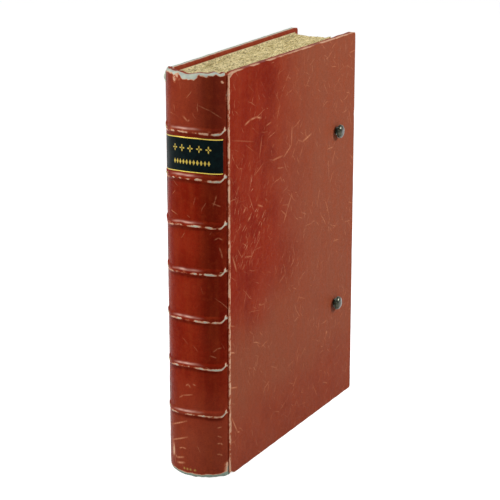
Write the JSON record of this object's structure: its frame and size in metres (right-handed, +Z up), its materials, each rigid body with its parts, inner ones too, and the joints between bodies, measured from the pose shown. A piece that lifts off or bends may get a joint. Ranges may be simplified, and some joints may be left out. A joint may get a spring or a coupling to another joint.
{
  "type": "antique leather book",
  "caption": "Tall upright book in worn leather over boards, with a rounded spine on raised bands, title panel, cream pages, hinged covers and domed clasp pins.",
  "frame": {"origin": "centre of the bounding box at the surface that the book stands on, under its tail edges", "axes": "+Z up the height of the book from tail to head, +X out of the front cover, +Y from the spine to the fore edge"},
  "size_m": [0.0612, 0.227, 0.3015],
  "materials": {
    "red_leather": "satin",
    "paper": "matte",
    "board": "matte",
    "cord": "matte",
    "silk": "matte",
    "label_leather": "satin",
    "bronze": "satin"
  },
  "bodies": {
    "book_block": {"text_block": "paper", "spine_leather": "red_leather", "sewing_cord_1": "cord", "sewing_cord_2": "cord", "sewing_cord_3": "cord", "sewing_cord_4": "cord", "sewing_cord_5": "cord", "sewing_cord_6": "cord", "sewing_cord_7": "cord", "head_endband": "silk", "tail_endband": "silk", "title_label": "label_leather"},
    "front_cover": {"front_board": "board", "front_leather": "red_leather", "front_pastedown": "paper", "upper_catch_pin": "bronze", "lower_catch_pin": "bronze"},
    "back_cover": {"back_board": "board", "back_leather": "red_leather", "back_pastedown": "paper"}
  },
  "joints": [
    {"name": "front_cover_hinge", "type": "hinge", "parent": "book_block", "child": "front_cover", "pos_m": [0.02233, -0.09651, 0.15], "axis": [0, 0, -1], "range_deg": [0, 179]},
    {"name": "back_cover_hinge", "type": "hinge", "parent": "book_block", "child": "back_cover", "pos_m": [-0.02767, -0.09651, 0.15], "axis": [0, 0, 1], "range_deg": [0, 179]}
  ]
}
